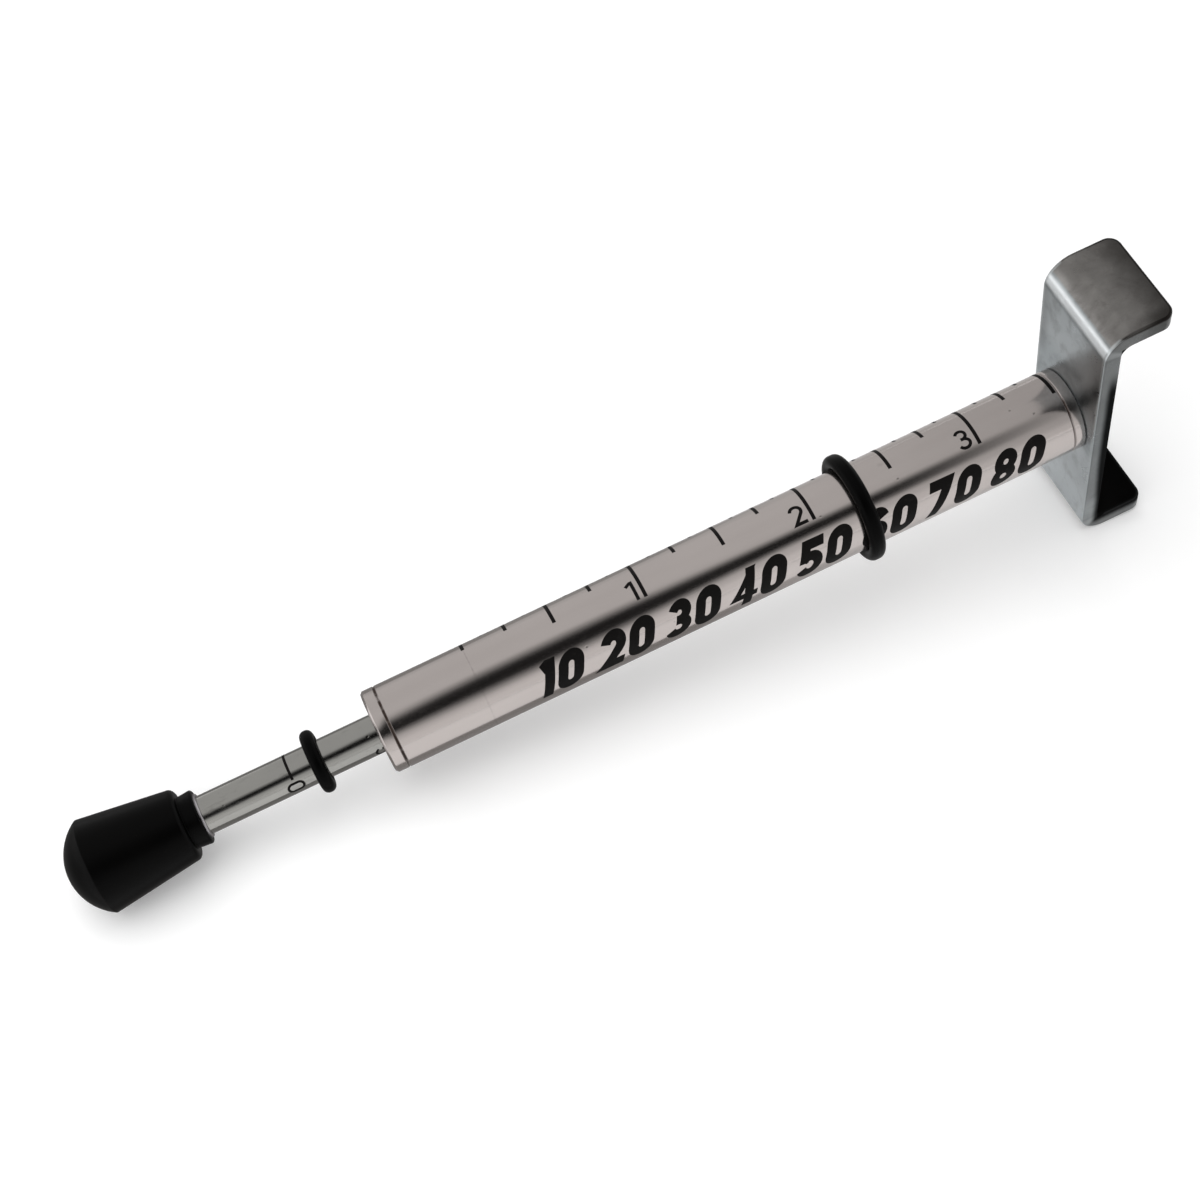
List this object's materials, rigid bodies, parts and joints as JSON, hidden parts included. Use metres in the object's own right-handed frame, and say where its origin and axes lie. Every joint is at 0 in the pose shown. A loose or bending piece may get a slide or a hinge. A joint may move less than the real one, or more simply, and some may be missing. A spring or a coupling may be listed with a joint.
{
  "type": "belt tension tester",
  "caption": "Pencil-type drive belt tension tester: round alloy barrel with a U-shaped belt cradle, a sprung plunger with a tapered knob, and sliding rubber marker rings.",
  "frame": {"origin": "middle of the belt seat, the inner face of the cradle's web", "axes": "+X along the tool's axis toward the belt, the barrel and knob on the -X side; +Z toward the upper flange; +Y across the cradle's width"},
  "size_m": [0.1621, 0.016, 0.0476],
  "materials": {
    "barrel_alloy": "satin, drawn and lightly brushed along its length",
    "plated_strip": "zinc plate on bent strip",
    "plated_screw": "zinc plate",
    "rod_steel": "ground and slightly dulled",
    "spring_steel": "oiled spring wire",
    "insert_metal": "bright nickel plate",
    "white_acetal": "machined acetal",
    "black_rubber": "smooth black rubber",
    "knob_rubber": "moulded satin black rubber",
    "scale_ink": "black printing ink of the scale on the barrel and the rod"
  },
  "bodies": {
    "barrel": {"barrel_tube": "barrel_alloy", "front_plug": "barrel_alloy", "rear_plug": "barrel_alloy", "rod_bush": "white_acetal", "stop_washer": "black_rubber", "belt_cradle": "plated_strip", "cradle_screw": "plated_screw", "return_spring": "spring_steel", "rear_spring_washer": "plated_screw"},
    "follower": {"spring_follower": "white_acetal", "follower_washer": "plated_screw"},
    "plunger": {"plunger_rod": "rod_steel", "rod_clip": "spring_steel", "knob_insert": "insert_metal", "knob": "knob_rubber"},
    "force_marker": {"force_ring": "black_rubber"},
    "travel_marker": {"travel_ring": "black_rubber"}
  },
  "joints": [
    {"name": "plunger_slide", "type": "slide", "parent": "barrel", "child": "follower", "axis": [1, 0, 0], "range_m": [0, 0.022], "stiffness_N_per_m": 3500, "springref_m": -0.002, "deforming": ["return_spring"]},
    {"name": "plunger_spin", "type": "hinge", "parent": "follower", "child": "plunger", "pos_m": [-0.0954, 0, 0], "axis": [1, 0, 0], "continuous": true},
    {"name": "force_ring_slide", "type": "slide", "parent": "plunger", "child": "force_marker", "axis": [1, 0, 0], "range_m": [-0.01408, 0]},
    {"name": "travel_ring_slide", "type": "slide", "parent": "barrel", "child": "travel_marker", "axis": [1, 0, 0], "range_m": [-0.07, 0.031]}
  ],
  "couplings": [
    {"joint": "force_ring_slide", "follows": "plunger_slide", "ratio": -0.64}
  ]
}
